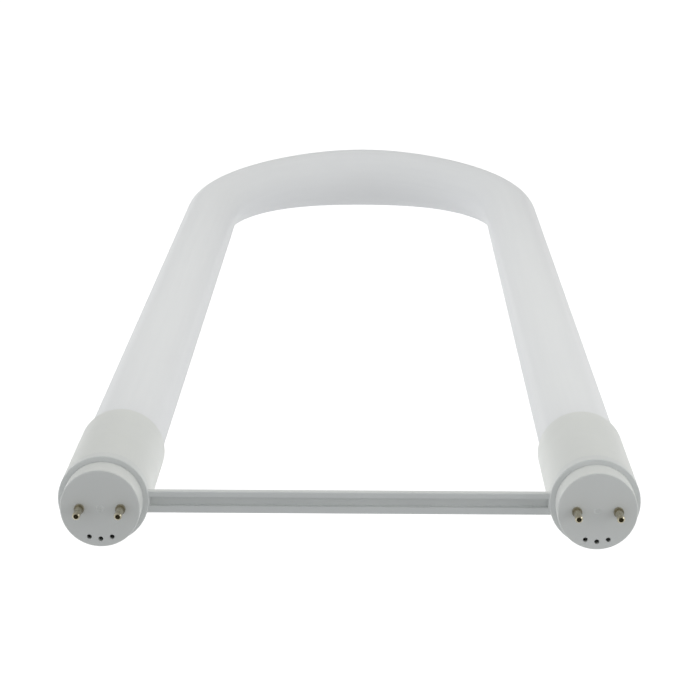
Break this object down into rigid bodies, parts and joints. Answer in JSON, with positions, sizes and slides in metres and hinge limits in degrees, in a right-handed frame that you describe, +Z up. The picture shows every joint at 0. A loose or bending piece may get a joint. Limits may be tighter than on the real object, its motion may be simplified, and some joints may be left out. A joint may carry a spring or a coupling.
{
  "type": "u-bend led tube",
  "caption": "U-shaped opal glass LED tube lamp with moulded pin caps on its ends and a channelled spacer bar that holds the legs apart.",
  "frame": {"origin": "on the resting surface, under the middle of the lamp's box", "axes": "+X across the legs, +Y from the pins along the legs to the crown of the bend, +Z up"},
  "size_m": [0.1808, 0.5774, 0.031],
  "materials": {
    "opal_glass": "opal white, smooth",
    "cap_plastic": "white, satin moulded",
    "pin_brass": "plain brass, slightly dull",
    "spacer_plastic": "white, satin moulded"
  },
  "bodies": {
    "root": {"glass_tube": "opal_glass", "end_cap_left": "cap_plastic", "end_cap_right": "cap_plastic", "contact_pin_left_outer": "pin_brass", "contact_pin_left_inner": "pin_brass", "contact_pin_right_inner": "pin_brass", "contact_pin_right_outer": "pin_brass", "spacer_bar": "spacer_plastic"}
  },
  "joints": []
}
